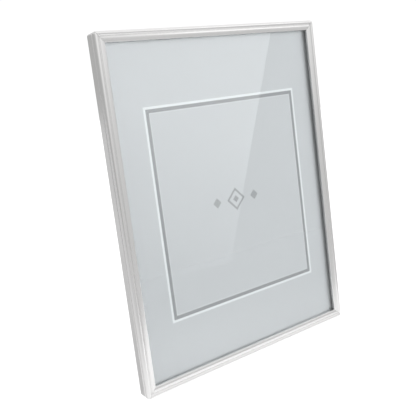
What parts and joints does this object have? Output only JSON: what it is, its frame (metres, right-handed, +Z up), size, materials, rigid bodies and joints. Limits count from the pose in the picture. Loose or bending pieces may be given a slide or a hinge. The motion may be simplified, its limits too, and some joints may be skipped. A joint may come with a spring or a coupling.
{
  "type": "photo frame",
  "caption": "Free-standing metal photo frame with glass, picture card, a backing board locked by swivel clips, a hinged strut, and hangers with wire rings.",
  "frame": {"origin": "middle of the ground that the standing frame covers, on the surface it stands on", "axes": "+Z up, -Y the way the picture faces, +X to the right seen from the front"},
  "size_m": [0.209, 0.0628, 0.255],
  "materials": {
    "moulding": "polished",
    "corner_key": "zinc plated",
    "fitting": "nickel plated",
    "glass": "clear",
    "card": "smooth",
    "board": "black flock facing",
    "strut": "black flock facing"
  },
  "bodies": {
    "frame": {"rail_bottom": "moulding", "rail_top": "moulding", "rail_left": "moulding", "rail_right": "moulding", "corner_key_bottom_left": "corner_key", "corner_key_bottom_right": "corner_key", "corner_key_top_right": "corner_key", "corner_key_top_left": "corner_key", "glass_pane": "glass", "picture_card": "card", "backing_board": "board", "clip_rivet_top_left": "fitting", "clip_rivet_top_right": "fitting", "clip_rivet_right": "fitting", "clip_rivet_bottom_right": "fitting", "clip_rivet_bottom_left": "fitting", "clip_rivet_left": "fitting", "hinge_board_leaf": "fitting", "hinge_pin": "fitting", "board_leaf_rivet_left": "fitting", "board_leaf_rivet_right": "fitting", "hanger_strap_upright": "fitting", "hanger_rivet_upright": "fitting", "hanger_strap_sideways": "fitting", "hanger_rivet_sideways": "fitting"},
    "strut": {"strut": "strut", "hinge_strut_leaf": "fitting", "strut_leaf_rivet_left": "fitting", "strut_leaf_rivet_right": "fitting"},
    "clip_top_left": {"swivel_clip_top_left": "fitting"},
    "clip_top_right": {"swivel_clip_top_right": "fitting"},
    "clip_right": {"swivel_clip_right": "fitting"},
    "clip_bottom_right": {"swivel_clip_bottom_right": "fitting"},
    "clip_bottom_left": {"swivel_clip_bottom_left": "fitting"},
    "clip_left": {"swivel_clip_left": "fitting"},
    "ring_upright": {"hanger_ring_upright": "fitting"},
    "ring_sideways": {"hanger_ring_sideways": "fitting"}
  },
  "joints": [
    {"name": "strut_fold", "type": "hinge", "parent": "frame", "child": "strut", "pos_m": [0, 0.01432, 0.1758], "axis": [1, 0, 0], "range_deg": [-16, 0]},
    {"name": "clip_turn_top_left", "type": "hinge", "parent": "frame", "child": "clip_top_left", "pos_m": [-0.055, 0.02526, 0.2394], "axis": [0, 0.9799, -0.1994], "continuous": true},
    {"name": "clip_turn_top_right", "type": "hinge", "parent": "frame", "child": "clip_top_right", "pos_m": [0.055, 0.02526, 0.2394], "axis": [0, 0.9799, -0.1994], "continuous": true},
    {"name": "clip_turn_right", "type": "hinge", "parent": "frame", "child": "clip_right", "pos_m": [0.09, 0.00234, 0.12671], "axis": [0, 0.9799, -0.1994], "continuous": true},
    {"name": "clip_turn_bottom_right", "type": "hinge", "parent": "frame", "child": "clip_bottom_right", "pos_m": [0.062, -0.02059, 0.01401], "axis": [0, 0.9799, -0.1994], "continuous": true},
    {"name": "clip_turn_bottom_left", "type": "hinge", "parent": "frame", "child": "clip_bottom_left", "pos_m": [-0.062, -0.02059, 0.01401], "axis": [0, 0.9799, -0.1994], "continuous": true},
    {"name": "clip_turn_left", "type": "hinge", "parent": "frame", "child": "clip_left", "pos_m": [-0.09, 0.00234, 0.12671], "axis": [0, 0.9799, -0.1994], "continuous": true},
    {"name": "ring_swing_upright", "type": "hinge", "parent": "frame", "child": "ring_upright", "pos_m": [0, 0.022, 0.21557], "axis": [1, 0, 0], "range_deg": [-11, 168]},
    {"name": "ring_swing_sideways", "type": "hinge", "parent": "frame", "child": "ring_sideways", "pos_m": [-0.058, 0.00386, 0.1264], "axis": [0, -0.1994, -0.9799], "range_deg": [0, 180]}
  ]
}
